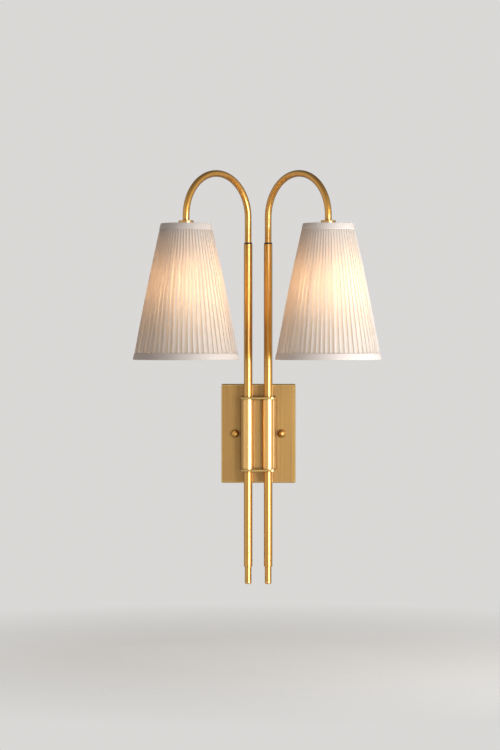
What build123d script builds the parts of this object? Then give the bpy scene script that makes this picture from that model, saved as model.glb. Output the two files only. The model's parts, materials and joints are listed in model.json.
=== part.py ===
"""Double arm wall sconce: two swivelling bent-tube arms with pleated tapered shades.

Millimetres. X is to the viewer's right, Y runs into the wall and Z is up.
The origin is on the wall, at the centre of the backplate. A "reach" is a distance
out of the wall, along -Y.
"""

from build123d import *
import math
import os

os.makedirs("parts", exist_ok=True)

SIDES = {"left": -1, "right": 1}

# ---------------------------------------------------------------- clearances
SLIDE_GAP = 0.10      # radial gap where a part slips over another and is then fixed
SWIVEL_GAP = 0.05     # radial running gap between a stem and its bushes
THRUST_GAP = 0.05     # axial running gap under the retaining ring
THREAD_GAP = 0.10     # radial gap that stands for a screw thread
SHEET_GAP = 0.10      # gap between the layers of a shade
COLUMN_GAP = 0.10     # gap between the columns and the bracket block

# ---------------------------------------------------------------- backplate
PLATE_WIDTH = 114.3
PLATE_HEIGHT = 152.4
PLATE_REACH = 20.0
PLATE_WALL = 1.2
PLATE_CORNER_RADIUS = 2.0
PLATE_EDGE_CHAMFER = 1.2
PLATE_WIRE_HOLE = 14.0

# ---------------------------------------------------------------- wall fixing
BAR_LENGTH = 101.6
BAR_WIDTH = 22.0
BAR_THICKNESS = 2.0
BAR_CORNER_RADIUS = 3.0
BAR_WIRE_HOLE = 11.0
BOX_SCREW_SPACING = 88.9
BOX_SLOT_LENGTH = 8.0
BOX_SLOT_WIDTH = 4.6
STUD_SPACING = 71.4
STUD_DIAMETER = 4.0
STUD_ENGAGEMENT = 6.0     # length of stud inside a cap nut
STUD_HOLE_GAP = 0.3
LOCKNUT_FLATS = 7.0
LOCKNUT_HEIGHT = 3.2
CAP_NUT_DIAMETER = 11.5
CAP_NUT_COLLAR_DIAMETER = 8.6
CAP_NUT_COLLAR_HEIGHT = 1.4
CAP_NUT_SINK = 1.2        # how far the ball runs into its collar
GROUND_SCREW_X = 19.0
GROUND_SCREW_DIAMETER = 4.0
GROUND_HEAD_DIAMETER = 8.0
GROUND_HEAD_HEIGHT = 2.4

# ---------------------------------------------------------------- bracket
BLOCK_WIDTH = 53.0
BLOCK_DEPTH = 21.25
BLOCK_HEIGHT = 107.4
BLOCK_EDGE_RADIUS = 4.0
BLOCK_FRONT_WALL = 4.0
CAVITY_WIDTH = 42.0
CAVITY_HEIGHT = 56.0
CAVITY_RADIUS = 4.0
FLANGE_WIDTH = 55.0
FLANGE_THICKNESS = 3.0
FLANGE_LIP = 1.4          # flange beyond the front of the columns
FLANGE_CORNER_RADIUS = 8.0
FLANGE_EDGE_CHAMFER = 0.4
BRACKET_SCREW_SPACING = 76.0
BRACKET_SCREW_DIAMETER = 5.0
BRACKET_SCREW_DEPTH = 11.0
BRACKET_HEAD_DIAMETER = 9.0
BRACKET_HEAD_HEIGHT = 3.2
FLANGE_SCREW_SPACING = 30.0
FLANGE_SCREW_DIAMETER = 4.0
FLANGE_SCREW_DEPTH = 9.0
FLANGE_HEAD_DIAMETER = 7.4
FLANGE_HEAD_HEIGHT = 1.7
DRIVE_SLOT_WIDTH = 1.0
DRIVE_SLOT_DEPTH = 0.8
HEAD_ROUNDING = 1 / 3      # share of a screw head's height that its rounding takes
GROMMET_BORE = 10.0
GROMMET_RIM = 2.0
GROMMET_RIM_THICKNESS = 1.5
GROMMET_STICKOUT = 1.5

# ---------------------------------------------------------------- poles
POLE_SPACING = 30.6
COLUMN_DIAMETER = 17.5
SLEEVE_DIAMETER = 13.0
SLEEVE_WALL = 0.6
SLEEVE_TOP = 290.5
SLEEVE_BOTTOM = -202.7
SLEEVE_EDGE_CHAMFER = 0.25
WIRE_WINDOW = 6.0
BUSH_LENGTH = 14.0
BUSH_FLANGE_DIAMETER = 12.4
BUSH_FLANGE_THICKNESS = 1.2
RING_THICKNESS = 0.9
RING_DIAMETER = 12.2
RING_GROOVE_DEPTH = 0.3
RING_SPLIT_DEGREES = 28.0

# ---------------------------------------------------------------- arms
TUBE_DIAMETER = 10.2
TUBE_WALL = 1.0
ARM_BEND_RADIUS = 65.0
ARM_YAW = 45.6            # degrees that each arm stands out from the wall's plane
ARM_FOOT = 12.3           # straight end of the tube between the bend and the shade
STEM_TIP = 26.7           # how far the stem shows under its sleeve
PLUG_HEAD = 3.0
PLUG_SPIGOT = 9.0
PLUG_ROUNDING = 1.8
LEAD_DIAMETER = 4.6
LEAD_TAIL = 12.0          # end of the lead above the wire window

# ---------------------------------------------------------------- shades
SHADE_TOP = 318.5
SHADE_HEIGHT = 203.8
SHADE_TOP_DIAMETER = 77.0
SHADE_BOTTOM_DIAMETER = 160.0
TRIM_WIDTH = 10.0
TRIM_THICKNESS = 0.6
PLEATS = 56
PLEAT_DEPTH_TOP = 1.05
PLEAT_DEPTH_BOTTOM = 2.2
PLEAT_FLAT = 0.52         # share of each pleat that lies flat against the liner
PLEAT_CREST = 0.80        # place of the fold's edge within its pleat
COVER_THICKNESS = 0.4
LINER_THICKNESS = 0.5
FRAME_WIRE = 2.2
FRAME_SPOKES = 3
SPOKE_TURN = 30.0         # degrees from +X to the first spoke
FRAME_HUB_DIAMETER = 23.0

# ---------------------------------------------------------------- lamp holder
SHADE_CAP_DIAMETER = 22.5
SHADE_CAP_THICKNESS = 4.4
SHADE_CAP_ROUNDING = 0.8
NIPPLE_DIAMETER = 8.0
NIPPLE_BORE = 5.4
NIPPLE_BELOW_BEND = 2.3   # how far short of the bend the nipple ends
NIPPLE_IN_SOCKET = 6.0
NIPPLE_NUT_FLATS = 12.0
NIPPLE_NUT_HEIGHT = 3.5
HUSK_DIAMETER = 38.0
HUSK_HEIGHT = 46.0
HUSK_WALL = 1.0
HUSK_SHOULDER = 9.0
SOCKET_HEIGHT = 48.0
SOCKET_GAP = 0.2
SOCKET_BORE = 27.0
SOCKET_BORE_DEPTH = 30.0
SOCKET_EDGE_RADIUS = 1.2
BULB_BASE_DIAMETER = 26.4
BULB_BASE_LENGTH = 26.0
BULB_CONTACT_DIAMETER = 10.0
BULB_CONTACT_HEIGHT = 2.0
BULB_DIAMETER = 60.0
BULB_GLASS_LENGTH = 84.0
BULB_NECK_LENGTH = 8.0
BULB_GLASS_WALL = 0.8

# ---------------------------------------------------------------- worked-out places
pole_reach = PLATE_REACH + BLOCK_DEPTH + COLUMN_GAP + COLUMN_DIAMETER / 2
yaw = math.radians(ARM_YAW)
bend_centre_z = SHADE_TOP + ARM_FOOT
nipple_top = bend_centre_z - NIPPLE_BELOW_BEND
stem_bottom = SLEEVE_BOTTOM - STEM_TIP
plug_seat = stem_bottom + PLUG_HEAD
shade_x = POLE_SPACING / 2 + 2 * ARM_BEND_RADIUS * math.cos(yaw)
shade_reach = pole_reach + 2 * ARM_BEND_RADIUS * math.sin(yaw)
shade_bottom = SHADE_TOP - SHADE_HEIGHT
tube_bore = TUBE_DIAMETER - 2 * TUBE_WALL
sleeve_bore = SLEEVE_DIAMETER - 2 * SLEEVE_WALL
husk_top = SHADE_TOP - FRAME_WIRE
nut_top = husk_top - HUSK_WALL
socket_top = nut_top - NIPPLE_NUT_HEIGHT
socket_bottom = socket_top - SOCKET_HEIGHT
contact_top = socket_bottom + SOCKET_BORE_DEPTH
base_top = contact_top - BULB_CONTACT_HEIGHT
glass_top = base_top - BULB_BASE_LENGTH
ring_seat = SLEEVE_TOP + BUSH_FLANGE_THICKNESS + THRUST_GAP
flange_front = pole_reach + COLUMN_DIAMETER / 2 + FLANGE_LIP
block_middle = PLATE_REACH + BLOCK_DEPTH / 2


def pole_plane(side, height):
    """Level plane centred on a pole's axis."""
    return Plane(origin=(side * POLE_SPACING / 2, -pole_reach, height))


def shade_plane(side, height):
    """Level plane centred on a shade's axis."""
    return Plane(origin=(side * shade_x, -shade_reach, height))


def lathe_plane(side):
    """Upright plane on a shade's axis: its x is a radius and its y is the height Z."""
    return Plane(origin=(side * shade_x, -shade_reach, 0), x_dir=(1, 0, 0), z_dir=(0, -1, 0))


def cone_radius(layer, height):
    """Radius at a height of one of the shade's conical layers (top and bottom radius)."""
    share = (SHADE_TOP - height) / SHADE_HEIGHT
    return layer[0] + (layer[1] - layer[0]) * share


def inside(layer, gap_top, gap_bottom):
    """The layer that lies inside another by the given gaps."""
    return (layer[0] - gap_top, layer[1] - gap_bottom)


# The shade's layers, from the outside in, each as its radius at the top and at the bottom
trim_outside = (SHADE_TOP_DIAMETER / 2, SHADE_BOTTOM_DIAMETER / 2)
pleat_crests = inside(trim_outside, TRIM_THICKNESS + SHEET_GAP, TRIM_THICKNESS + SHEET_GAP)
pleat_valleys = inside(pleat_crests, PLEAT_DEPTH_TOP, PLEAT_DEPTH_BOTTOM)
cover_inside = inside(pleat_valleys, COVER_THICKNESS, COVER_THICKNESS)
liner_outside = inside(cover_inside, SHEET_GAP, SHEET_GAP)
liner_inside = inside(liner_outside, LINER_THICKNESS, LINER_THICKNESS)

# ================================================================ wall fixing
with BuildPart() as mounting_crossbar:
    with BuildSketch(Plane.XZ):
        RectangleRounded(BAR_LENGTH, BAR_WIDTH, BAR_CORNER_RADIUS)
        Circle(BAR_WIRE_HOLE / 2, mode=Mode.SUBTRACT)
        with GridLocations(BOX_SCREW_SPACING, 0, 2, 1):
            SlotOverall(BOX_SLOT_LENGTH, BOX_SLOT_WIDTH, mode=Mode.SUBTRACT)
        with GridLocations(STUD_SPACING, 0, 2, 1):
            Circle(STUD_DIAMETER / 2 + THREAD_GAP, mode=Mode.SUBTRACT)
        with Locations((GROUND_SCREW_X, 0)):
            Circle(GROUND_SCREW_DIAMETER / 2 + THREAD_GAP, mode=Mode.SUBTRACT)
    extrude(amount=BAR_THICKNESS)
mounting_crossbar.part.label = "mounting_crossbar"
export_step(mounting_crossbar.part, "parts/mounting_crossbar.step")

with BuildPart() as ground_screw:
    with BuildSketch(Plane.XZ.offset(BAR_THICKNESS)):
        with Locations((GROUND_SCREW_X, 0)):
            Circle(GROUND_HEAD_DIAMETER / 2)
    extrude(amount=GROUND_HEAD_HEIGHT)
    fillet(ground_screw.faces().sort_by(Axis.Y)[0].edges(), GROUND_HEAD_HEIGHT * HEAD_ROUNDING)
    with BuildSketch(Plane.XZ.offset(BAR_THICKNESS + GROUND_HEAD_HEIGHT)):
        with Locations((GROUND_SCREW_X, 0)):
            Rectangle(GROUND_HEAD_DIAMETER, DRIVE_SLOT_WIDTH)
    extrude(amount=-DRIVE_SLOT_DEPTH, mode=Mode.SUBTRACT)
    with BuildSketch(Plane.XZ.offset(BAR_THICKNESS)):
        with Locations((GROUND_SCREW_X, 0)):
            Circle(GROUND_SCREW_DIAMETER / 2)
    extrude(amount=-BAR_THICKNESS)
ground_screw.part.label = "ground_screw"
export_step(ground_screw.part, "parts/ground_screw.step")

with BuildPart() as mounting_studs:
    with BuildSketch(Plane.XZ):
        with GridLocations(STUD_SPACING, 0, 2, 1):
            Circle(STUD_DIAMETER / 2)
    extrude(amount=PLATE_REACH + STUD_ENGAGEMENT)
mounting_studs.part.label = "mounting_studs"
export_step(mounting_studs.part, "parts/mounting_studs.step")

with BuildPart() as stud_locknuts:
    with BuildSketch(Plane.XZ.offset(BAR_THICKNESS)):
        with GridLocations(STUD_SPACING, 0, 2, 1):
            RegularPolygon(LOCKNUT_FLATS / 2, 6, major_radius=False)
            Circle(STUD_DIAMETER / 2 + THREAD_GAP, mode=Mode.SUBTRACT)
    extrude(amount=LOCKNUT_HEIGHT)
stud_locknuts.part.label = "stud_locknuts"
export_step(stud_locknuts.part, "parts/stud_locknuts.step")

# ================================================================ backplate
with BuildPart() as backplate:
    with BuildSketch(Plane.XZ):
        RectangleRounded(PLATE_WIDTH, PLATE_HEIGHT, PLATE_CORNER_RADIUS)
    extrude(amount=PLATE_REACH)
    chamfer(backplate.faces().sort_by(Axis.Y)[0].edges(), PLATE_EDGE_CHAMFER)
    offset(amount=-PLATE_WALL, openings=backplate.faces().sort_by(Axis.Y)[-1])
    with BuildSketch(Plane.XZ):
        Circle(PLATE_WIRE_HOLE / 2)
        with GridLocations(STUD_SPACING, 0, 2, 1):
            Circle(STUD_DIAMETER / 2 + STUD_HOLE_GAP)
        with GridLocations(0, BRACKET_SCREW_SPACING, 1, 2):
            Circle(BRACKET_SCREW_DIAMETER / 2 + SLIDE_GAP)
    extrude(amount=PLATE_REACH, mode=Mode.SUBTRACT)
backplate.part.label = "backplate"
export_step(backplate.part, "parts/backplate.step")

with BuildPart() as cap_nuts:
    ball_radius = CAP_NUT_DIAMETER / 2
    ball_centre = PLATE_REACH + CAP_NUT_COLLAR_HEIGHT - CAP_NUT_SINK + ball_radius
    with Locations((-STUD_SPACING / 2, -ball_centre, 0), (STUD_SPACING / 2, -ball_centre, 0)):
        Sphere(ball_radius)
    with BuildSketch(Plane.XZ.offset(PLATE_REACH)):
        with GridLocations(STUD_SPACING, 0, 2, 1):
            Circle(CAP_NUT_COLLAR_DIAMETER / 2)
    extrude(amount=CAP_NUT_COLLAR_HEIGHT)
    with BuildSketch(Plane.XZ.offset(PLATE_REACH)):
        with GridLocations(STUD_SPACING, 0, 2, 1):
            Circle(STUD_DIAMETER / 2 + THREAD_GAP)
    extrude(amount=STUD_ENGAGEMENT + THREAD_GAP, mode=Mode.SUBTRACT)
cap_nuts.part.label = "cap_nuts"
export_step(cap_nuts.part, "parts/cap_nuts.step")

with BuildPart() as wire_grommet:
    barrel_radius = PLATE_WIRE_HOLE / 2 - SLIDE_GAP
    with BuildSketch(Plane.XZ.offset(PLATE_REACH - PLATE_WALL)):
        Circle(barrel_radius)
    extrude(amount=PLATE_WALL + GROMMET_STICKOUT)
    with BuildSketch(Plane.XZ.offset(PLATE_REACH - PLATE_WALL)):
        Circle(barrel_radius + GROMMET_RIM)
    extrude(amount=-GROMMET_RIM_THICKNESS)
    with BuildSketch(Plane.XZ):
        Circle(GROMMET_BORE / 2)
    extrude(amount=PLATE_REACH + BLOCK_DEPTH, mode=Mode.SUBTRACT)
wire_grommet.part.label = "wire_grommet"
export_step(wire_grommet.part, "parts/wire_grommet.step")

# ================================================================ bracket
with BuildPart() as bracket_block:
    with BuildSketch(Plane.XY.offset(-BLOCK_HEIGHT / 2)) as block_outline:
        with Locations((0, -block_middle)):
            Rectangle(BLOCK_WIDTH, BLOCK_DEPTH)
        fillet(block_outline.vertices().group_by(Axis.Y)[0], BLOCK_EDGE_RADIUS)
    extrude(amount=BLOCK_HEIGHT)
    with BuildSketch(Plane.XZ.offset(PLATE_REACH)):
        RectangleRounded(CAVITY_WIDTH, CAVITY_HEIGHT, CAVITY_RADIUS)
    extrude(amount=BLOCK_DEPTH - BLOCK_FRONT_WALL, mode=Mode.SUBTRACT)
    with BuildSketch(Plane.XZ.offset(PLATE_REACH)):
        with GridLocations(POLE_SPACING, 0, 2, 1):
            Circle(WIRE_WINDOW / 2)
    extrude(amount=BLOCK_DEPTH, mode=Mode.SUBTRACT)
    with BuildSketch(Plane.XZ.offset(PLATE_REACH)):
        with GridLocations(0, BRACKET_SCREW_SPACING, 1, 2):
            Circle(BRACKET_SCREW_DIAMETER / 2 + THREAD_GAP)
    extrude(amount=BRACKET_SCREW_DEPTH + THREAD_GAP, mode=Mode.SUBTRACT)
    for end in (-1, 1):
        with BuildSketch(Plane.XY.offset(end * BLOCK_HEIGHT / 2)):
            with Locations((0, -block_middle)):
                with GridLocations(FLANGE_SCREW_SPACING, 0, 2, 1):
                    Circle(FLANGE_SCREW_DIAMETER / 2 + THREAD_GAP)
        extrude(amount=-end * (FLANGE_SCREW_DEPTH + THREAD_GAP), mode=Mode.SUBTRACT)
bracket_block.part.label = "bracket_block"
export_step(bracket_block.part, "parts/bracket_block.step")

with BuildPart() as bracket_screws:
    with BuildSketch(Plane.XZ.offset(PLATE_REACH - PLATE_WALL)):
        with GridLocations(0, BRACKET_SCREW_SPACING, 1, 2):
            Circle(BRACKET_SCREW_DIAMETER / 2)
    extrude(amount=PLATE_WALL + BRACKET_SCREW_DEPTH)
    with BuildSketch(Plane.XZ.offset(PLATE_REACH - PLATE_WALL)):
        with GridLocations(0, BRACKET_SCREW_SPACING, 1, 2):
            Circle(BRACKET_HEAD_DIAMETER / 2)
    extrude(amount=-BRACKET_HEAD_HEIGHT)
    fillet(bracket_screws.faces().group_by(Axis.Y)[-1].edges(), BRACKET_HEAD_HEIGHT * HEAD_ROUNDING)
    with BuildSketch(Plane.XZ.offset(PLATE_REACH - PLATE_WALL - BRACKET_HEAD_HEIGHT)):
        with GridLocations(0, BRACKET_SCREW_SPACING, 1, 2):
            Rectangle(BRACKET_HEAD_DIAMETER, DRIVE_SLOT_WIDTH)
    extrude(amount=DRIVE_SLOT_DEPTH, mode=Mode.SUBTRACT)
bracket_screws.part.label = "bracket_screws"
export_step(bracket_screws.part, "parts/bracket_screws.step")

for flange_name, end in (("upper_flange", 1), ("lower_flange", -1)):
    with BuildPart() as flange:
        with BuildSketch(Plane.XY.offset(end * BLOCK_HEIGHT / 2)) as flange_outline:
            with Locations((0, -(PLATE_REACH + flange_front) / 2)):
                Rectangle(FLANGE_WIDTH, flange_front - PLATE_REACH)
            fillet(flange_outline.vertices().group_by(Axis.Y)[0], FLANGE_CORNER_RADIUS)
        extrude(amount=end * FLANGE_THICKNESS)
        rim = flange.edges().filter_by(lambda edge: abs(edge.center().Y) > PLATE_REACH + 1)
        chamfer(rim.filter_by(Axis.Z, reverse=True), FLANGE_EDGE_CHAMFER)
        with BuildSketch(Plane.XY.offset(end * BLOCK_HEIGHT / 2)):
            with Locations((0, -pole_reach)):
                with GridLocations(POLE_SPACING, 0, 2, 1):
                    Circle(SLEEVE_DIAMETER / 2 + SLIDE_GAP)
            with Locations((0, -block_middle)):
                with GridLocations(FLANGE_SCREW_SPACING, 0, 2, 1):
                    Circle(FLANGE_SCREW_DIAMETER / 2 + SLIDE_GAP)
        extrude(amount=end * FLANGE_THICKNESS, mode=Mode.SUBTRACT)
        with BuildSketch(Plane.XY.offset(end * (BLOCK_HEIGHT / 2 + FLANGE_THICKNESS))):
            with Locations((0, -block_middle)):
                with GridLocations(FLANGE_SCREW_SPACING, 0, 2, 1):
                    Circle(FLANGE_HEAD_DIAMETER / 2 + SLIDE_GAP)
        extrude(amount=-end * (FLANGE_HEAD_HEIGHT + SLIDE_GAP), mode=Mode.SUBTRACT)
    flange.part.label = flange_name
    export_step(flange.part, f"parts/{flange_name}.step")

with BuildPart() as flange_screws:
    head_seat = BLOCK_HEIGHT / 2 + FLANGE_THICKNESS - FLANGE_HEAD_HEIGHT - SLIDE_GAP
    for end in (-1, 1):
        with BuildSketch(Plane.XY.offset(end * head_seat)):
            with Locations((0, -block_middle)):
                with GridLocations(FLANGE_SCREW_SPACING, 0, 2, 1):
                    Circle(FLANGE_HEAD_DIAMETER / 2)
        extrude(amount=end * FLANGE_HEAD_HEIGHT)
        with BuildSketch(Plane.XY.offset(end * (head_seat + FLANGE_HEAD_HEIGHT))):
            with Locations((0, -block_middle)):
                with GridLocations(FLANGE_SCREW_SPACING, 0, 2, 1):
                    Rectangle(FLANGE_HEAD_DIAMETER, DRIVE_SLOT_WIDTH)
        extrude(amount=-end * DRIVE_SLOT_DEPTH, mode=Mode.SUBTRACT)
        with BuildSketch(Plane.XY.offset(end * head_seat)):
            with Locations((0, -block_middle)):
                with GridLocations(FLANGE_SCREW_SPACING, 0, 2, 1):
                    Circle(FLANGE_SCREW_DIAMETER / 2)
        extrude(amount=-end * (head_seat - BLOCK_HEIGHT / 2 + FLANGE_SCREW_DEPTH))
flange_screws.part.label = "flange_screws"
export_step(flange_screws.part, "parts/flange_screws.step")

# ================================================================ poles, fixed half
for side_name, side in SIDES.items():
    window = Plane(origin=(side * POLE_SPACING / 2, -pole_reach, 0), x_dir=(1, 0, 0), z_dir=(0, 1, 0))

    with BuildPart() as column:
        with BuildSketch(pole_plane(side, -BLOCK_HEIGHT / 2)):
            Circle(COLUMN_DIAMETER / 2)
            Circle(SLEEVE_DIAMETER / 2 + SLIDE_GAP, mode=Mode.SUBTRACT)
        extrude(amount=BLOCK_HEIGHT)
        with BuildSketch(window):
            Circle(WIRE_WINDOW / 2)
        extrude(amount=COLUMN_DIAMETER, mode=Mode.SUBTRACT)
    column.part.label = f"{side_name}_column"
    export_step(column.part, f"parts/{side_name}_column.step")

    with BuildPart() as sleeve:
        with BuildSketch(pole_plane(side, SLEEVE_BOTTOM)):
            Circle(SLEEVE_DIAMETER / 2)
        extrude(amount=SLEEVE_TOP - SLEEVE_BOTTOM)
        chamfer(sleeve.edges().filter_by(GeomType.CIRCLE), SLEEVE_EDGE_CHAMFER)
        with BuildSketch(pole_plane(side, SLEEVE_BOTTOM)):
            Circle(sleeve_bore / 2)
        extrude(amount=SLEEVE_TOP - SLEEVE_BOTTOM, mode=Mode.SUBTRACT)
        with BuildSketch(window):
            Circle(WIRE_WINDOW / 2)
        extrude(amount=SLEEVE_DIAMETER, mode=Mode.SUBTRACT)
    sleeve.part.label = f"{side_name}_sleeve"
    export_step(sleeve.part, f"parts/{side_name}_sleeve.step")

    with BuildPart() as upper_bush:
        with BuildSketch(pole_plane(side, SLEEVE_TOP)):
            Circle(BUSH_FLANGE_DIAMETER / 2)
        extrude(amount=BUSH_FLANGE_THICKNESS)
        with BuildSketch(pole_plane(side, SLEEVE_TOP)):
            Circle(sleeve_bore / 2 - SWIVEL_GAP)
        extrude(amount=-BUSH_LENGTH)
        with BuildSketch(pole_plane(side, SLEEVE_TOP - BUSH_LENGTH)):
            Circle(TUBE_DIAMETER / 2 + SWIVEL_GAP)
        extrude(amount=BUSH_LENGTH + BUSH_FLANGE_THICKNESS, mode=Mode.SUBTRACT)
    upper_bush.part.label = f"{side_name}_upper_bush"
    export_step(upper_bush.part, f"parts/{side_name}_upper_bush.step")

    with BuildPart() as lower_bush:
        with BuildSketch(pole_plane(side, SLEEVE_BOTTOM)):
            Circle(sleeve_bore / 2 - SWIVEL_GAP)
            Circle(TUBE_DIAMETER / 2 + SWIVEL_GAP, mode=Mode.SUBTRACT)
        extrude(amount=BUSH_LENGTH)
    lower_bush.part.label = f"{side_name}_lower_bush"
    export_step(lower_bush.part, f"parts/{side_name}_lower_bush.step")


# ================================================================ arms
def arm_line(side, low, foot):
    """Centreline of an arm: up the pole from low, over the bend and down to foot."""
    plane = Plane(
        origin=(side * POLE_SPACING / 2, -pole_reach, 0),
        x_dir=(side * math.cos(yaw), -math.sin(yaw), 0),
        z_dir=(-math.sin(yaw), -side * math.cos(yaw), 0),
    )
    with BuildLine(plane) as line:
        Line((0, low), (0, bend_centre_z))
        ThreePointArc(
            (0, bend_centre_z),
            (ARM_BEND_RADIUS, bend_centre_z + ARM_BEND_RADIUS),
            (2 * ARM_BEND_RADIUS, bend_centre_z),
        )
        Line((2 * ARM_BEND_RADIUS, bend_centre_z), (2 * ARM_BEND_RADIUS, foot))
    return line.line


def bulb_outline(wall):
    """Half section of the bulb's glass, drawn in by wall; y is the height Z."""
    radius = BULB_DIAMETER / 2 - wall
    neck = BULB_BASE_DIAMETER / 2 - wall
    widest = glass_top - BULB_GLASS_LENGTH + BULB_DIAMETER / 2
    neck_end = glass_top - BULB_NECK_LENGTH
    with BuildLine() as outline:
        Line((0, glass_top), (neck, glass_top))
        Line((neck, glass_top), (neck, neck_end))
        Spline((neck, neck_end), (radius, widest), tangents=[(0, -1), (0, -1)])
        RadiusArc((radius, widest), (0, widest - radius), radius)
        Line((0, widest - radius), (0, glass_top))
    return outline.line


for side_name, side in SIDES.items():
    with BuildPart() as arm:
        arm_path = arm_line(side, plug_seat, SHADE_TOP)
        with BuildSketch(pole_plane(side, plug_seat)):
            Circle(TUBE_DIAMETER / 2)
            Circle(tube_bore / 2, mode=Mode.SUBTRACT)
        sweep(path=arm_path)
        with BuildSketch(pole_plane(side, ring_seat)):
            Circle(TUBE_DIAMETER / 2 + RING_GROOVE_DEPTH)
            Circle(TUBE_DIAMETER / 2 - RING_GROOVE_DEPTH, mode=Mode.SUBTRACT)
        extrude(amount=RING_THICKNESS, mode=Mode.SUBTRACT)
        with BuildSketch(Plane(origin=(side * POLE_SPACING / 2, -pole_reach, 0), z_dir=(0, 1, 0))):
            Circle(WIRE_WINDOW / 2)
        extrude(amount=TUBE_DIAMETER, mode=Mode.SUBTRACT)
    arm.part.label = f"{side_name}_arm"
    export_step(arm.part, f"parts/{side_name}_arm.step")

    with BuildPart() as stem_plug:
        with BuildSketch(pole_plane(side, stem_bottom)):
            Circle(TUBE_DIAMETER / 2)
        extrude(amount=PLUG_HEAD)
        fillet(stem_plug.faces().sort_by(Axis.Z)[0].edges(), PLUG_ROUNDING)
        with BuildSketch(pole_plane(side, plug_seat)):
            Circle(tube_bore / 2 - SLIDE_GAP)
        extrude(amount=PLUG_SPIGOT)
    stem_plug.part.label = f"{side_name}_stem_plug"
    export_step(stem_plug.part, f"parts/{side_name}_stem_plug.step")

    with BuildPart() as retaining_ring:
        with BuildSketch(pole_plane(side, ring_seat)):
            Circle(RING_DIAMETER / 2)
            Circle(TUBE_DIAMETER / 2 - RING_GROOVE_DEPTH + SWIVEL_GAP, mode=Mode.SUBTRACT)
            with Locations((0, RING_DIAMETER / 2)):
                Rectangle(
                    RING_DIAMETER * math.sin(math.radians(RING_SPLIT_DEGREES / 2)),
                    RING_DIAMETER,
                    mode=Mode.SUBTRACT,
                )
        extrude(amount=RING_THICKNESS)
    retaining_ring.part.label = f"{side_name}_retaining_ring"
    export_step(retaining_ring.part, f"parts/{side_name}_retaining_ring.step")

    with BuildPart() as lead:
        lead_path = arm_line(side, LEAD_TAIL, socket_top - NIPPLE_IN_SOCKET)
        with BuildSketch(pole_plane(side, LEAD_TAIL)):
            Circle(LEAD_DIAMETER / 2)
        sweep(path=lead_path)
    lead.part.label = f"{side_name}_lead"
    export_step(lead.part, f"parts/{side_name}_lead.step")

    # ------------------------------------------------------------ lamp holder
    with BuildPart() as shade_cap:
        with BuildSketch(shade_plane(side, SHADE_TOP)):
            Circle(SHADE_CAP_DIAMETER / 2)
        extrude(amount=SHADE_CAP_THICKNESS)
        fillet(shade_cap.faces().sort_by(Axis.Z)[-1].edges(), SHADE_CAP_ROUNDING)
        with BuildSketch(shade_plane(side, SHADE_TOP)):
            Circle(TUBE_DIAMETER / 2 + SLIDE_GAP)
        extrude(amount=SHADE_CAP_THICKNESS, mode=Mode.SUBTRACT)
    shade_cap.part.label = f"{side_name}_shade_cap"
    export_step(shade_cap.part, f"parts/{side_name}_shade_cap.step")

    with BuildPart() as nipple:
        with BuildSketch(shade_plane(side, socket_top - NIPPLE_IN_SOCKET)):
            Circle(NIPPLE_DIAMETER / 2)
            Circle(NIPPLE_BORE / 2, mode=Mode.SUBTRACT)
        extrude(amount=nipple_top - socket_top + NIPPLE_IN_SOCKET)
    nipple.part.label = f"{side_name}_nipple"
    export_step(nipple.part, f"parts/{side_name}_nipple.step")

    with BuildPart() as nipple_nut:
        with BuildSketch(shade_plane(side, socket_top)):
            RegularPolygon(NIPPLE_NUT_FLATS / 2, 6, major_radius=False)
            Circle(NIPPLE_DIAMETER / 2 + THREAD_GAP, mode=Mode.SUBTRACT)
        extrude(amount=NIPPLE_NUT_HEIGHT)
    nipple_nut.part.label = f"{side_name}_nipple_nut"
    export_step(nipple_nut.part, f"parts/{side_name}_nipple_nut.step")

    with BuildPart() as socket_husk:
        with BuildSketch(shade_plane(side, husk_top - HUSK_HEIGHT)):
            Circle(HUSK_DIAMETER / 2)
        extrude(amount=HUSK_HEIGHT)
        fillet(socket_husk.faces().sort_by(Axis.Z)[-1].edges(), HUSK_SHOULDER)
        offset(amount=-HUSK_WALL, openings=socket_husk.faces().sort_by(Axis.Z)[0])
        with BuildSketch(shade_plane(side, nut_top)):
            Circle(NIPPLE_DIAMETER / 2 + THREAD_GAP)
        extrude(amount=HUSK_WALL, mode=Mode.SUBTRACT)
    socket_husk.part.label = f"{side_name}_socket_husk"
    export_step(socket_husk.part, f"parts/{side_name}_socket_husk.step")

    with BuildPart() as socket:
        with BuildSketch(shade_plane(side, socket_bottom)):
            Circle(HUSK_DIAMETER / 2 - HUSK_WALL - SOCKET_GAP)
        extrude(amount=SOCKET_HEIGHT)
        fillet(socket.faces().sort_by(Axis.Z)[-1].edges(), HUSK_SHOULDER)
        fillet(socket.faces().sort_by(Axis.Z)[0].edges(), SOCKET_EDGE_RADIUS)
        with BuildSketch(shade_plane(side, socket_bottom)):
            Circle(SOCKET_BORE / 2)
        extrude(amount=SOCKET_BORE_DEPTH, mode=Mode.SUBTRACT)
        with BuildSketch(shade_plane(side, socket_top)):
            Circle(NIPPLE_DIAMETER / 2 + THREAD_GAP)
        extrude(amount=-NIPPLE_IN_SOCKET, mode=Mode.SUBTRACT)
    socket.part.label = f"{side_name}_socket"
    export_step(socket.part, f"parts/{side_name}_socket.step")

    with BuildPart() as bulb_base:
        with BuildSketch(shade_plane(side, glass_top)):
            Circle(BULB_BASE_DIAMETER / 2)
        extrude(amount=BULB_BASE_LENGTH)
        fillet(bulb_base.faces().sort_by(Axis.Z)[-1].edges(), BULB_CONTACT_HEIGHT)
        with BuildSketch(shade_plane(side, base_top)):
            Circle(BULB_CONTACT_DIAMETER / 2)
        extrude(amount=BULB_CONTACT_HEIGHT)
    bulb_base.part.label = f"{side_name}_bulb_base"
    export_step(bulb_base.part, f"parts/{side_name}_bulb_base.step")

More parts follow.
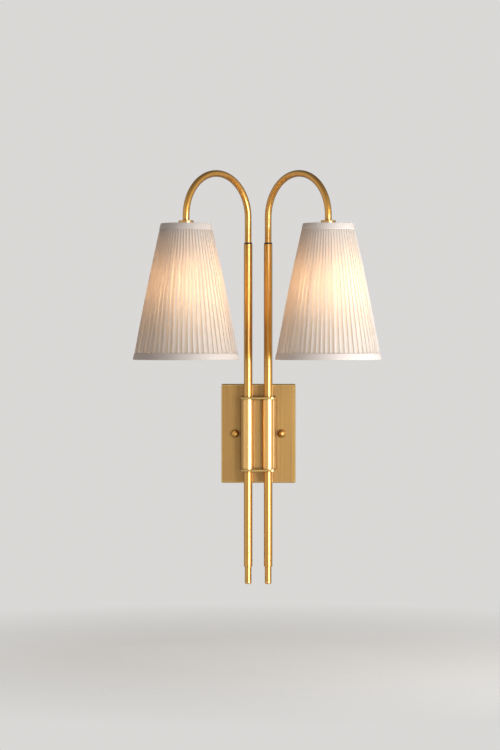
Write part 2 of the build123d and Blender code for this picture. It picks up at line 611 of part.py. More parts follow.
    with BuildPart() as bulb_glass:
        with BuildSketch(lathe_plane(side)):
            add(bulb_outline(0))
            make_face()
        revolve(axis=Axis((side * shade_x, -shade_reach, 0), (0, 0, 1)))
        with BuildSketch(lathe_plane(side)):
            add(bulb_outline(BULB_GLASS_WALL))
            make_face()
        revolve(axis=Axis((side * shade_x, -shade_reach, 0), (0, 0, 1)), mode=Mode.SUBTRACT)
    bulb_glass.part.label = f"{side_name}_bulb_glass"
    export_step(bulb_glass.part, f"parts/{side_name}_bulb_glass.step")


# ================================================================ shades
def trim_section(edge, inward):
    """Half section of a binding round a shade's edge; inward is the way into the shade."""
    band_end = edge + inward * TRIM_WIDTH
    lip_end = edge + inward * TRIM_THICKNESS
    band_inside = inside(trim_outside, TRIM_THICKNESS, TRIM_THICKNESS)
    with BuildLine() as section:
        Polyline(
            (cone_radius(trim_outside, edge), edge),
            (cone_radius(trim_outside, band_end), band_end),
            (cone_radius(band_inside, band_end), band_end),
            (cone_radius(band_inside, lip_end), lip_end),
            (cone_radius(liner_inside, lip_end), lip_end),
            (cone_radius(liner_inside, edge), edge),
            close=True,
        )
    return section.line


def pleat_outline(crests, valleys, height):
    """Points round a pleated layer at a height: in each pleat a flat, then a fold over it."""
    crest = cone_radius(crests, height)
    valley = cone_radius(valleys, height)
    points = []
    for pleat in range(PLEATS):
        for share, radius in ((0, valley), (PLEAT_FLAT, valley), (PLEAT_CREST, crest)):
            angle = math.tau * (pleat + share) / PLEATS
            points.append((radius * math.cos(angle), radius * math.sin(angle)))
    return points


sheet_top = SHADE_TOP - TRIM_THICKNESS - SHEET_GAP
sheet_bottom = shade_bottom + TRIM_THICKNESS + SHEET_GAP

for side_name, side in SIDES.items():
    shade_axis = Axis((side * shade_x, -shade_reach, 0), (0, 0, 1))

    with BuildPart() as shade_frame:
        wire_level = SHADE_TOP - FRAME_WIRE / 2
        ring_radius = cone_radius(liner_inside, SHADE_TOP) - SHEET_GAP - FRAME_WIRE / 2
        with BuildSketch(shade_plane(side, SHADE_TOP - FRAME_WIRE)):
            Circle(FRAME_HUB_DIAMETER / 2)
        extrude(amount=FRAME_WIRE)
        for spoke in range(FRAME_SPOKES):
            angle = math.radians(SPOKE_TURN + 360 * spoke / FRAME_SPOKES)
            toward = (math.cos(angle), math.sin(angle), 0)
            with BuildSketch(Plane(origin=(side * shade_x, -shade_reach, wire_level), z_dir=toward)):
                Circle(FRAME_WIRE / 2)
            extrude(amount=ring_radius)
        with BuildSketch(shade_plane(side, SHADE_TOP - FRAME_WIRE)):
            Circle(NIPPLE_DIAMETER / 2 + THREAD_GAP)
        extrude(amount=FRAME_WIRE, mode=Mode.SUBTRACT)
        with BuildSketch(lathe_plane(side)):
            with Locations((ring_radius, wire_level)):
                Circle(FRAME_WIRE / 2)
        revolve(axis=shade_axis)
    shade_frame.part.label = f"{side_name}_shade_frame"
    export_step(shade_frame.part, f"parts/{side_name}_shade_frame.step")

    with BuildPart() as shade_ring:
        wire_level = shade_bottom + FRAME_WIRE / 2
        ring_radius = cone_radius(liner_inside, wire_level) - SHEET_GAP - FRAME_WIRE / 2
        with BuildSketch(lathe_plane(side)):
            with Locations((ring_radius, wire_level)):
                Circle(FRAME_WIRE / 2)
        revolve(axis=shade_axis)
    shade_ring.part.label = f"{side_name}_shade_ring"
    export_step(shade_ring.part, f"parts/{side_name}_shade_ring.step")

    with BuildPart() as shade_liner:
        with BuildSketch(lathe_plane(side)):
            with BuildLine():
                Polyline(
                    (cone_radius(liner_outside, sheet_top), sheet_top),
                    (cone_radius(liner_outside, sheet_bottom), sheet_bottom),
                    (cone_radius(liner_inside, sheet_bottom), sheet_bottom),
                    (cone_radius(liner_inside, sheet_top), sheet_top),
                    close=True,
                )
            make_face()
        revolve(axis=shade_axis)
    shade_liner.part.label = f"{side_name}_shade_liner"
    export_step(shade_liner.part, f"parts/{side_name}_shade_liner.step")

    with BuildPart() as shade_cover:
        for height in (sheet_bottom, sheet_top):
            with BuildSketch(shade_plane(side, height)):
                with BuildLine():
                    Polyline(*pleat_outline(pleat_crests, pleat_valleys, height), close=True)
                make_face()
        loft(ruled=True)
        for height in (sheet_bottom, sheet_top):
            with BuildSketch(shade_plane(side, height)):
                with BuildLine():
                    Polyline(*pleat_outline(cover_inside, cover_inside, height), close=True)
                make_face()
        loft(ruled=True, mode=Mode.SUBTRACT)
    shade_cover.part.label = f"{side_name}_shade_cover"
    export_step(shade_cover.part, f"parts/{side_name}_shade_cover.step")

    for trim_name, edge, inward in (("top_trim", SHADE_TOP, -1), ("bottom_trim", shade_bottom, 1)):
        with BuildPart() as trim:
            with BuildSketch(lathe_plane(side)):
                add(trim_section(edge, inward))
                make_face()
            revolve(axis=shade_axis)
        trim.part.label = f"{side_name}_{trim_name}"
        export_step(trim.part, f"parts/{side_name}_{trim_name}.step")
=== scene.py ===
"""Double arm wall sconce: finishes, pleated shades, lamps and studio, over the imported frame.

Metres. X is to the viewer's right, Y runs into the wall and Z is up. The origin is on the
wall, at the centre of the backplate.
"""

import json
import math
import random

import bpy
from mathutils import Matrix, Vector


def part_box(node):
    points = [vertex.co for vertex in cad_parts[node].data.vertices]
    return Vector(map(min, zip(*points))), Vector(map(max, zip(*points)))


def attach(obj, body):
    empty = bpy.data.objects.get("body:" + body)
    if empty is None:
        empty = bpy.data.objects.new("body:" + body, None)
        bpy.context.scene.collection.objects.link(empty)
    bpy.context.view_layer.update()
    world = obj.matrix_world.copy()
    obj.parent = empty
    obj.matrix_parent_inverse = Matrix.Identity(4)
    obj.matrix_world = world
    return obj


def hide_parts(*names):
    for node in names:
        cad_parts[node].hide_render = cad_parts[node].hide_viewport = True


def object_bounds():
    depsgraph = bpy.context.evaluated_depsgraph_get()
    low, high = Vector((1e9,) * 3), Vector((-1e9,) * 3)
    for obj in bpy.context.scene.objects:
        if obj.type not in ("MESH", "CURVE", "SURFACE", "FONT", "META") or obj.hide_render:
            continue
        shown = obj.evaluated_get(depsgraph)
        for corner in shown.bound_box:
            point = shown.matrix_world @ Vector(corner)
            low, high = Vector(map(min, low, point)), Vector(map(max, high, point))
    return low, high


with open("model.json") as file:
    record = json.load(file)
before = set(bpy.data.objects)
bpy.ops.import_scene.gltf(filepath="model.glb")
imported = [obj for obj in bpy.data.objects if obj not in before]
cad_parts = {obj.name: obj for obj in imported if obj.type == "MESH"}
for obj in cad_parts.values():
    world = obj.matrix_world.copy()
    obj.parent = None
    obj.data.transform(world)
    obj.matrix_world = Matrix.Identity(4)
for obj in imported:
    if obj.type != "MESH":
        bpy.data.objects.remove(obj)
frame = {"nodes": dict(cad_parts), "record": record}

cad_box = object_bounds()

MM = 0.001
SIDES = ("left", "right")

# ---------------------------------------------------------------- view
CAMERA_PLACE = Vector((0.0639, -4.22, 0.1517))
CAMERA_TARGET = Vector((-0.0130, -0.020, 0.0901))
CAMERA_LENS = 130.9             # mm
CAMERA_SENSOR = 36.0            # mm

# ---------------------------------------------------------------- studio
BACKGROUND = (0.70, 0.69, 0.675)
AMBIENT = (0.39, 0.355, 0.33)   # what the surroundings give to matt surfaces
ZENITH = 0.40                   # light from overhead, as a share of that at eye level
ZENITH_FADE = (0.2, 0.95)       # how far up a direction points where that starts and is full
SIDE_GAIN = 0.35                # how much brighter metal mirrors the studio's left and right
BEHIND = 0.40                   # what metal mirrors from behind, as a share of that in front
BEHIND_FADE = (-0.1, 0.6)       # how far back a direction points where that starts and is full
FLOOR_DROP = 0.10               # floor below the lowest point of the object
FLOOR_RADIUS = 0.80
FLOOR_FADE = (0.25, 0.98 * FLOOR_RADIUS)  # from its middle to where it starts to fade, and is gone
FLOOR_COLOUR = (0.30, 0.295, 0.285)
FLECK_COLOUR = (0.5, 0.5, 0.5)
FLECK_SHARE = 0.04              # how far the grain takes the floor towards its fleck colour
FLOOR_GLOW = 0.62               # share of the background that it shows where no light falls
SOFTBOX = {
    "azimuth": 48.0,
    "distance": 0.85,
    "height": 0.08,
    "size": (0.9, 1.0),
    "power": 9.0,
    "colour": (1.0, 0.99, 0.98),
}
HIGHLIGHT = {
    "azimuth": 32.0,
    "distance": 1.6,
    "height": 0.03,
    "size": (0.98, 0.95),
    "power": 27.0,
    "colour": (0.90, 0.98, 1.30),
}

# ---------------------------------------------------------------- lamps
LAMP_COLOUR = (1.0, 0.675, 0.37)
LAMP_POWER = 0.090              # W, of each of the faces round a bulb's upright filament
LAMP_FACES = 3
LAMP_SIZE = 0.034
BULB_GLOW = 1.2
BULB_GLOW_COLOUR = (1.0, 0.82, 0.60)
BULB_NECK_GLOW = 0.45           # glow at the bulb's neck, as a share of that lower down
BULB_NECK_FROM = 0.6            # share of the bulb's height at which the glow starts to fall
BULB_COLOUR = (0.97, 0.95, 0.92)

# ---------------------------------------------------------------- brass
BRUSH_LINE = (0.03, 0.05, 1.0)  # nearly upright, so that level faces have a direction too
DRAWN_GRAIN = (3000.0, 3000.0, 60.0)
BRUSHED_GRAIN = (2600.0, 2600.0, 18.0)
EVEN_GRAIN = (900.0, 900.0, 900.0)
STREAK_GRAIN = (480.0, 480.0, 5.0)
PATINA_SCALE = 38.0
AGED = (0.82, 0.74, 0.62)       # tone of aged brass, as a share of its own colour
CORNER_SHADE_TONE = (0.34, 0.26, 0.18)   # painted shade in narrow corners, likewise a share of its own colour
CORNER_SHADE_REACH = 5.0 * MM        # how near other metal has to be for a corner to get painted shade
CORNER_SHADE_OPEN = (0.40, 0.90)     # open share round a corner with full painted shade and round a face with none
EDGE_TURN = (0.86, 0.995)       # evenness of the surface at an edge that is polished and painted lighter, and on a flat face
EDGE_SHARE = 0.8                # how far a sharp edge takes its lighter tone: polish and a painted highlight
EDGE_LIFT = 0.04                # light painted on every edge above its metal's, for polish and a painted highlight
EDGE_SMOOTHING = 0.4            # roughness that it has less, as a share of the metal's
PATINA_ROUGHNESS = (0.95, 1.12)  # roughness of clean and aged metal, as shares of the named one
LACQUER_ROUGHNESS = 0.04
LACQUER_IOR = 1.5

TUBE_COLOUR = (0.61, 0.305, 0.045)
BRASSES = {
    "tube_brass": {
        "colour": TUBE_COLOUR,
        "roughness": 0.30,
        "grain": DRAWN_GRAIN,
        "depth": 0.0004 * MM,
    },
    "bent_brass": {
        "colour": TUBE_COLOUR,
        "roughness": 0.30,
        "grain": EVEN_GRAIN,
        "depth": 0.0004 * MM,
    },
    "column_brass": {
        "colour": (0.82, 0.48, 0.14),
        "roughness": 0.34,
        "grain": DRAWN_GRAIN,
        "depth": 0.0004 * MM,
    },
    "turned_brass": {
        "colour": (0.70, 0.39, 0.10),
        "roughness": 0.30,
        "grain": EVEN_GRAIN,
        "depth": 0.0005 * MM,
    },
    "nut_brass": {
        "colour": (0.66, 0.37, 0.085),
        "roughness": 0.36,
        "grain": EVEN_GRAIN,
        "depth": 0.0005 * MM,
        # little painted shade in the corners round the nuts
        "corner_shade": 0.2,
        "coat": 0.5,
    },
    "plate_brass": {
        "colour": (0.40, 0.224, 0.062),
        "roughness": 0.29,
        "grain": BRUSHED_GRAIN,
        "depth": 0.003 * MM,
        "contrast": 0.09,
        "streak": 0.10,
        "patina": 0.5,
        # the bevel's bright line is mostly a painted highlight
        "edge": 2.8 * MM,
        "shine": 3.0,
        "coat": 0.5,
        "anisotropy": 0.3,
    },
}
# The brass of the nodes whose names end so, where it isn't that of their material slot.
OWN_BRASS = {
    "_arm": "bent_brass",
    "_sleeve": "tube_brass",
    "_column": "column_brass",
    "cap_nuts": "nut_brass",
    "_flange": "plate_brass",
}

# ---------------------------------------------------------------- cloth and liner
COVER_SILK = {
    "colour": (0.77, 0.76, 0.75),
    "through": (0.88, 0.845, 0.80),
    "share_through": 0.42,
    "tint": (0.48, 0.40, 0.32),
    "threads": 320.0,
    "slub": 0.5,
}
TAPE_SILK = {
    "colour": (0.80, 0.75, 0.722),
    "through": (0.80, 0.70, 0.60),
    "share_through": 0.12,
    "tint": (0.30, 0.24, 0.18),
    "threads": 240.0,
    "slub": 0.3,
}
SLUB_STRETCH = (1.0, 0.035, 1.0)
SLUB_TONE = (0.90, 0.87, 0.83)  # tone of slubs in the light, as a share of the cloth's
SLUB_SHADOW = 0.84              # light that passes a slub, as a share of that beside it
SLUB_HEIGHT = 1.5               # how far slubs stand out, in heights of a thread
LINER_COLOUR = (0.60, 0.53, 0.44)
LINER_MOTTLE = (0.54, 0.47, 0.38)
LINER_THROUGH = (0.84, 0.82, 0.79)
LINER_SHARE_THROUGH = 0.65
LINER_TINT = (0.88, 0.86, 0.83)
CLEAR = (1.0, 1.0, 1.0)
CLOTH_SLOTS = ("shade_fabric", "trim_fabric")

# ---------------------------------------------------------------- pleats
COVER_SEED = 21
PLEATS = 56
PLEAT_ROWS = 36
LEVEL = 0.05 * MM               # how near to a height a CAD point counts as being at it
LINER_GAP = 0.1 * MM
UNDERLAP = 3.4 * MM             # cloth hidden behind each fold, the same at every height
UNDERLAP_LIMIT = 0.92           # share of a pleat's face that it takes at the most
PLEAT_STITCH = 0.3 * MM         # cloth between the last point of a pleat and the next pleat
ROLL_SHARE = 0.08               # radius of the fold's roll, as a share of the pleat's width
ROLL_STEPS = 8
LAYER_STEP = 0.15 * MM          # distance between the cloth's layers in an underlap
LOWEST_LAYER = 0.3 * LAYER_STEP
FACE_STEPS = (0.0, 0.14, 0.28, 0.42, 0.56, 0.7, 0.82, 0.92)
FACE_CURVE = 2.6                # how late the face rises to its fold
UNDER_STEPS = (0.5, 1.0)
LOWER_STEPS = (0.02, 0.5, 0.85)
PLEAT_JITTER = 0.10             # how unevenly the pleats are spaced
PLEAT_SWING = 0.14              # how much wider than usual they are at the shade's sides
COVER_BULGE = 1.3 * MM          # how far the folds stand out at half the shade's height
DEPTH_JITTER = 0.16             # how unevenly the folds stand out
DEPTH_RANGE = (-1, 0.1)         # the draw for it: many folds are shallower and few deeper
DEPTH_SWELL = 0.08              # how unevenly each of them does along its length
SWELL_WAVES = 5
FOLD_WANDER = 0.30 * MM         # how far a fold strays from a straight line
WANDER_WAVES = 6

# ---------------------------------------------------------------- tapes
TAPE_SEED = 41
TAPE_ANGLES = 4 * PLEATS
TAPE_THICKNESS = 0.45 * MM
TAPE_CROWN = 0.25 * MM          # how far the middle of the tape stands out
TAPE_CROWN_CURVE = 0.6          # how full the crown is
TAPE_STEPS = 7
TAPE_END = 0.94                 # share of the tape's width at which it turns over the edge
TAPE_ROLL = 0.06                # height of that turn, as a share of the width
# Points over the edge, as shares: of the way in to the hem, of the turn's height, of the crown.
TAPE_TURN = ((0.10, 0.3, 0.4), (0.30, 0.0, 0.0), (0.70, 0.0, 0.0), (0.95, 0.4, 0.0))
TAPE_RIPPLE = 0.10 * MM
TAPE_LAP = 9.0 * MM             # length of the tape's overlap at its join
TAPE_LAP_STEP = 0.12 * MM       # how far the overlap stands out
TAPE_LAP_EDGE = 0.002           # radians in which it does so
TAPE_LAP_AZIMUTH = 65.0         # degrees from the front to the join, to the viewer's right


# ================================================================ nodes
def new_material(name):
    """A material without nodes."""
    material = bpy.data.materials.new(name)
    material.use_nodes = True
    material.node_tree.nodes.clear()
    return material


def add(tree, kind, inputs=None, **settings):
    """Adds a node. inputs gives sockets, by name or place, a value or another node's output."""
    made = tree.nodes.new(kind)
    for key, value in settings.items():
        setattr(made, key, value)
    for key, value in (inputs or {}).items():
        if isinstance(value, bpy.types.NodeSocket):
            tree.links.new(value, made.inputs[key])
        else:
            made.inputs[key].default_value = value
    return made


def rgb(colour):
    """A colour as its socket takes it, opaque."""
    return (*colour, 1.0)


def tinted(colour, factors):
    """A colour with each channel multiplied by its own factor."""
    return tuple(channel * factor for channel, factor in zip(colour, factors))


def scaled(colour, factor, lift=0.0):
    """A colour with every channel multiplied and raised alike, up to 1."""
    return tuple(min(1.0, channel * factor + lift) for channel in colour)


def maths(tree, operation, a, b=0.0, clamp=False):
    """The result of arithmetic on two numbers or outputs."""
    made = add(tree, "ShaderNodeMath", {0: a, 1: b}, operation=operation, use_clamp=clamp)
    return made.outputs[0]


def vector_maths(tree, operation, a, b=(0.0, 0.0, 0.0)):
    """The outputs, Vector and Value, of arithmetic on two vectors."""
    return add(tree, "ShaderNodeVectorMath", {0: a, 1: b}, operation=operation).outputs


def ramp(tree, value, start, end, over=(0.3, 0.7)):
    """Goes from start to end while value crosses the range over, and is held at both ends."""
    inputs = {0: value, 1: over[0], 2: over[1], 3: start, 4: end}
    return add(tree, "ShaderNodeMapRange", inputs, clamp=True).outputs[0]


def object_point(tree, scale=(1.0, 1.0, 1.0)):
    """The surface point in the object's own space, stretched by scale."""
    place = add(tree, "ShaderNodeTexCoord").outputs["Object"]
    return add(tree, "ShaderNodeMapping", {"Vector": place, "Scale": scale}).outputs["Vector"]


def noise_at(tree, point, scale, detail=3.0, roughness=0.55):
    """Cloudy noise of 0 to 1 at a point."""
    inputs = {"Vector": point, "Scale": scale, "Detail": detail, "Roughness": roughness}
    return add(tree, "ShaderNodeTexNoise", inputs).outputs["Fac"]


def grey(tree, level):
    """A colour with the same level in its three channels."""
    return add(tree, "ShaderNodeCombineColor", {0: level, 1: level, 2: level}).outputs[0]


def blend_colour(tree, share, first, second, blend_type="MIX"):
    """Mixes two colours, each given as numbers or as a node's output."""
    made = add(tree, "ShaderNodeMix", {0: share}, data_type="RGBA", blend_type=blend_type)
    for place, colour in ((6, first), (7, second)):
        if isinstance(colour, bpy.types.NodeSocket):
            tree.links.new(colour, made.inputs[place])
        else:
            made.inputs[place].default_value = rgb(colour)
    return made.outputs[2]


def bump(tree, height, distance, strength=1.0):
    """The surface's normal, tilted by a height."""
    inputs = {"Height": height, "Distance": distance, "Strength": strength}
    return add(tree, "ShaderNodeBump", inputs).outputs["Normal"]


def shader(tree, kind, inputs=None):
    """The output of a new surface shader: Principled, Diffuse, Translucent or Transparent."""
    return add(tree, f"ShaderNodeBsdf{kind}", inputs).outputs[0]


def mix_shaders(tree, share, first, second):
    """A shader that is first at a share of 0 and second at 1."""
    return add(tree, "ShaderNodeMixShader", {0: share, 1: first, 2: second}).outputs[0]


def glowing(tree, surface, colour, strength):
    """A shader that also gives off light of its own."""
    glow = add(tree, "ShaderNodeEmission", {"Color": rgb(colour), "Strength": strength}).outputs[0]
    return add(tree, "ShaderNodeAddShader", {0: glow, 1: surface}).outputs[0]


def finish_tree(tree, surface):
    """Makes a shader the material's surface."""
    add(tree, "ShaderNodeOutputMaterial", {"Surface": surface})


# ================================================================ metals
def wear_and_highlight_mask(tree, radius):
    """1 along sharp edges, polished by handling and painted with a highlight, and 0 on flat faces.
    """
    rounded = add(tree, "ShaderNodeBevel", {"Radius": radius}, samples=4).outputs["Normal"]
    straight = add(tree, "ShaderNodeNewGeometry").outputs["Normal"]
    evenness = vector_maths(tree, "DOT_PRODUCT", rounded, straight)["Value"]
    return ramp(tree, evenness, 1.0, 0.0, over=EDGE_TURN)


def corner_shade_mask(tree):
    """1 in narrow corners, where shade is painted dark, and 0 on open faces."""
    inputs = {"Distance": CORNER_SHADE_REACH}
    open_share = add(tree, "ShaderNodeAmbientOcclusion", inputs, samples=12).outputs["AO"]
    return ramp(tree, open_share, 1.0, 0.0, over=CORNER_SHADE_OPEN)


def brushed_tangent(tree):
    """A level direction in the surface, across brush lines that run up the object."""
    normal = add(tree, "ShaderNodeNewGeometry").outputs["Normal"]
    across = vector_maths(tree, "CROSS_PRODUCT", normal, BRUSH_LINE)["Vector"]
    return vector_maths(tree, "NORMALIZE", across)["Vector"]


def brush_tone(tree, lines, contrast, streak):
    """Light and dark of the brush lines, and of broader streaks if there are any."""
    level = ramp(tree, lines, 1.0 - contrast, 1.0 + contrast)
    if streak:
        broad = noise_at(tree, object_point(tree, STREAK_GRAIN), scale=1.0, detail=2.0)
        level = maths(tree, "MULTIPLY", level, ramp(tree, broad, 1.0 - streak, 1.0 + streak))
    return grey(tree, level)


def brass(name, colour, roughness, grain, depth, contrast=0.06, streak=0.0, patina=0.35,
          edge=0.5 * MM, shine=1.45, corner_shade=1.0, coat=1.0, anisotropy=0.0):
    """Lacquered brass.

    grain is how fine its brush lines are in X, Y and Z, depth how deep they are in metres,
    contrast how much they differ in tone, and streak how much broader streaks do. patina is
    the share of its aged tone in the clouds. edge is the width of the edges that are lighter,
    partly from polish worn by handling and partly as a painted highlight, and shine how much
    lighter they are. The next argument is the share of painted shade in narrow corners, coat
    the weight of the lacquer, and anisotropy how far the brushing draws out highlights.
    """
    material = new_material(name)
    tree = material.node_tree
    cloud = noise_at(tree, object_point(tree), scale=PATINA_SCALE, detail=4.0, roughness=0.6)
    lines = noise_at(tree, object_point(tree, grain), scale=1.0, detail=2.0, roughness=0.5)
    edge_wear_and_highlight = wear_and_highlight_mask(tree, edge)
    wear_and_highlight_share = maths(tree, "MULTIPLY", edge_wear_and_highlight, EDGE_SHARE)
    corner_shade_share = maths(tree, "MULTIPLY", corner_shade_mask(tree), corner_shade)
    tone = blend_colour(tree, ramp(tree, cloud, 0.0, patina), colour, tinted(colour, AGED))
    tone = blend_colour(tree, 1.0, tone, brush_tone(tree, lines, contrast, streak), "MULTIPLY")
    # edges painted lighter: polish worn by handling, and a painted highlight
    tone = blend_colour(tree, wear_and_highlight_share, tone, scaled(colour, shine, EDGE_LIFT))
    # narrow corners painted dark, as shade
    tone = blend_colour(tree, corner_shade_share, tone, tinted(colour, CORNER_SHADE_TONE))
    clean, aged = PATINA_ROUGHNESS
    rough = ramp(tree, cloud, roughness * clean, roughness * aged)
    smoother = maths(tree, "MULTIPLY", edge_wear_and_highlight, roughness * EDGE_SMOOTHING)
    inputs = {
        "Base Color": tone,
        "Metallic": 1.0,
        "Roughness": maths(tree, "SUBTRACT", rough, smoother, clamp=True),
        "Normal": bump(tree, lines, depth),
        "Coat Weight": coat,
        "Coat Roughness": LACQUER_ROUGHNESS,
        "Coat IOR": LACQUER_IOR,
    }
    if anisotropy:
        inputs["Anisotropic"] = anisotropy
        inputs["Tangent"] = brushed_tangent(tree)
    finish_tree(tree, shader(tree, "Principled", inputs))
    return material


def plain_metal(name, colour, roughness):
    """Plated steel or aluminium with a fine uneven grain."""
    material = new_material(name)
    tree = material.node_tree
    grain = noise_at(tree, object_point(tree), scale=400.0, detail=4.0)
    cloud = noise_at(tree, object_point(tree), scale=60.0)
    inputs = {
        "Base Color": blend_colour(tree, ramp(tree, cloud, 0.0, 0.6), colour, scaled(colour, 0.78)),
        "Metallic": 1.0,
        "Roughness": ramp(tree, grain, roughness * 0.75, roughness * 1.3),
        "Normal": bump(tree, grain, distance=0.03 * MM, strength=0.4),
    }
    finish_tree(tree, shader(tree, "Principled", inputs))
    return material


def coated(name, colour, roughness):
    """Paint, moulded plastic or rubber: a fine grain and a little unevenness in its tone."""
    material = new_material(name)
    tree = material.node_tree
    grain = noise_at(tree, object_point(tree), scale=700.0)
    cloud = noise_at(tree, object_point(tree), scale=45.0)
    dusty = scaled(colour, 0.8, lift=0.02)
    inputs = {
        "Base Color": blend_colour(tree, ramp(tree, cloud, 0.0, 0.7), colour, dusty),
        "Roughness": ramp(tree, grain, roughness * 0.85, roughness * 1.15),
        "Normal": bump(tree, grain, distance=0.04 * MM, strength=0.5),
    }
    finish_tree(tree, shader(tree, "Principled", inputs))
    return material


# ================================================================ cloth, liner and glass
def let_light_through(tree, surface, tint):
    """Shadow rays pass, tinted, so that the lamp lights each layer through the ones before it."""
    shadow = add(tree, "ShaderNodeLightPath").outputs["Is Shadow Ray"]
    return mix_shaders(tree, shadow, surface, shader(tree, "Transparent", {"Color": rgb(tint)}))


def weave(tree, flat, threads):
    """Height of a plain weave over the cloth's flat coordinates, from 0 to 1."""
    waves = []
    for direction in ("X", "Y"):
        inputs = {
            "Vector": flat, "Scale": threads, "Distortion": 0.6, "Detail": 1.0, "Detail Scale": 0.4,
        }
        wave = add(tree, "ShaderNodeTexWave", inputs, bands_direction=direction)
        waves.append(wave.outputs["Fac"])
    return maths(tree, "MAXIMUM", *waves)


def silk(name, colour, through, share_through, tint, threads, slub):
    """Translucent cloth: a plain weave with slubs along its length.

    colour is the cloth's own, through that of light coming through it, and share_through how
    much of what is seen is such light. tint is what shadow rays keep. threads is how fine the
    weave is, and slub how strongly the slubs show.
    """
    material = new_material(name)
    tree = material.node_tree
    flat = add(tree, "ShaderNodeUVMap", uv_map="cloth").outputs[0]
    along = add(tree, "ShaderNodeMapping", {"Vector": flat, "Scale": SLUB_STRETCH}).outputs[0]
    slubs = noise_at(tree, along, scale=1400.0, detail=2.0)
    cloud = noise_at(tree, flat, scale=60.0)
    slub_share = ramp(tree, slubs, 0.0, 1.0, over=(0.4, 0.75))
    share = maths(tree, "MULTIPLY", slub_share, slub)
    share = maths(tree, "ADD", share, ramp(tree, cloud, 0.0, 0.25), clamp=True)
    slub_height = maths(tree, "MULTIPLY", slubs, SLUB_HEIGHT)
    height = maths(tree, "ADD", weave(tree, flat, threads), slub_height)
    normal = bump(tree, height, distance=0.05 * MM, strength=0.5)
    face = shader(tree, "Principled", {
        "Base Color": blend_colour(tree, share, colour, tinted(colour, SLUB_TONE)),
        "Roughness": 0.72,
        "Specular IOR Level": 0.25,
        "Sheen Weight": 0.25,
        "Sheen Roughness": 0.4,
        "Normal": normal,
    })
    glow = shader(tree, "Translucent", {
        "Color": blend_colour(tree, share, through, scaled(through, SLUB_SHADOW)),
        "Normal": normal,
    })
    cloth = mix_shaders(tree, share_through, face, glow)
    finish_tree(tree, let_light_through(tree, cloth, tint))
    return material


def styrene(name):
    """The shade's translucent white lining, faintly mottled."""
    material = new_material(name)
    tree = material.node_tree
    mottle = noise_at(tree, object_point(tree), scale=420.0, detail=4.0)
    cloud = noise_at(tree, object_point(tree), scale=30.0, detail=2.0)
    normal = bump(tree, mottle, distance=0.05 * MM, strength=0.4)
    face = shader(tree, "Principled", {
        "Base Color": blend_colour(tree, ramp(tree, cloud, 0.0, 0.5), LINER_COLOUR, LINER_MOTTLE),
        "Roughness": ramp(tree, mottle, 0.38, 0.55),
        "Normal": normal,
    })
    glow = shader(tree, "Translucent", {"Color": rgb(LINER_THROUGH), "Normal": normal})
    sheet = mix_shaders(tree, LINER_SHARE_THROUGH, face, glow)
    finish_tree(tree, let_light_through(tree, sheet, LINER_TINT))
    return material


def lit_glass(name):
    """The lit bulb's frosted glass, which lets the lamp inside it shine out."""
    material = new_material(name)
    tree = material.node_tree
    frost = noise_at(tree, object_point(tree), scale=900.0)
    height = add(tree, "ShaderNodeSeparateXYZ", {0: object_point(tree)}).outputs[2]
    low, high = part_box("left_bulb_glass")
    neck = low.z + BULB_NECK_FROM * (high.z - low.z)
    level = ramp(tree, height, 1.0, BULB_NECK_GLOW, over=(neck, high.z))
    level = maths(tree, "MULTIPLY", level, BULB_GLOW)
    strength = maths(tree, "MULTIPLY", level, ramp(tree, frost, 0.95, 1.05))
    skin = shader(tree, "Principled", {
        "Base Color": rgb(BULB_COLOUR),
        "Roughness": ramp(tree, frost, 0.10, 0.22),
    })
    lit = glowing(tree, skin, BULB_GLOW_COLOUR, strength)
    finish_tree(tree, let_light_through(tree, lit, CLEAR))
    return material


def dress_solids():
    """Gives the CAD's solids their finishes. Cloth is left, because meshes replace it."""
    brasses = {name: brass(name, **look) for name, look in BRASSES.items()}
    finishes = {
        "brass": brasses["turned_brass"],
        "brushed_brass": brasses["plate_brass"],
        "liner": styrene("styrene_liner"),
        "frame_wire": coated("coated_wire", (0.82, 0.81, 0.77), roughness=0.4),
        "zinc_steel": plain_metal("zinc_plate", (0.60, 0.60, 0.57), roughness=0.35),
        "green_screw": coated("green_plate", (0.06, 0.30, 0.12), roughness=0.3),
        "black_steel": coated("black_oxide", (0.02, 0.018, 0.016), roughness=0.35),
        "black_nylon": coated("black_nylon", (0.018, 0.016, 0.015), roughness=0.45),
        "lead": coated("lead_jacket", (0.62, 0.48, 0.24), roughness=0.5),
        "phenolic": coated("phenolic", (0.022, 0.019, 0.017), roughness=0.25),
        "bulb_metal": plain_metal("bulb_shell", (0.72, 0.72, 0.70), roughness=0.25),
        "bulb_glass": lit_glass("lit_bulb_glass"),
    }
    for part in frame["record"]["subparts"]:
        if part["material_slot"] in CLOTH_SLOTS:
            continue
        finish = finishes[part["material_slot"]]
        for ending, own in OWN_BRASS.items():
            if part["node"].endswith(ending):
                finish = brasses[own]
        data = frame["nodes"][part["node"]].data
        data.materials.clear()
        data.materials.append(finish)


# ================================================================ shade geometry
def shade_axis(side):
    """X and Y of a shade's upright axis."""
    low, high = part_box(f"{side}_shade_cover")
    return (low.x + high.x) / 2, (low.y + high.y) / 2


def radii_at(node, axis, height):
    """Least and greatest distance from a shade's axis of a CAD node's points at a height."""
    vertices = frame["nodes"][node].data.vertices
    points = [v.co for v in vertices if abs(v.co.z - height) < LEVEL]
    reach = [math.hypot(p.x - axis[0], p.y - axis[1]) for p in points]
    return min(reach), max(reach)


def round_axis(axis, reach, angle, height):
    """The point at a distance from a shade's axis, at an angle and a height."""
    return (axis[0] + reach * math.cos(angle), axis[1] + reach * math.sin(angle), height)


def between(first, second, share):
    """first at a share of 0, second at 1, and evenly between them."""
    return first + (second - first) * share


def slow_noise(seed, waves):
    """A function of a share, from 0 to 1, that wanders smoothly between -1 and 1."""
    draw = random.Random(seed)
    knots = [draw.uniform(-1, 1) for _ in range(waves + 1)]

    def value(share):
        place = share * waves
        index = min(int(place), waves - 1)
        ease = (1 - math.cos(math.pi * (place - index))) / 2
        return between(knots[index], knots[index + 1], ease)

    return value


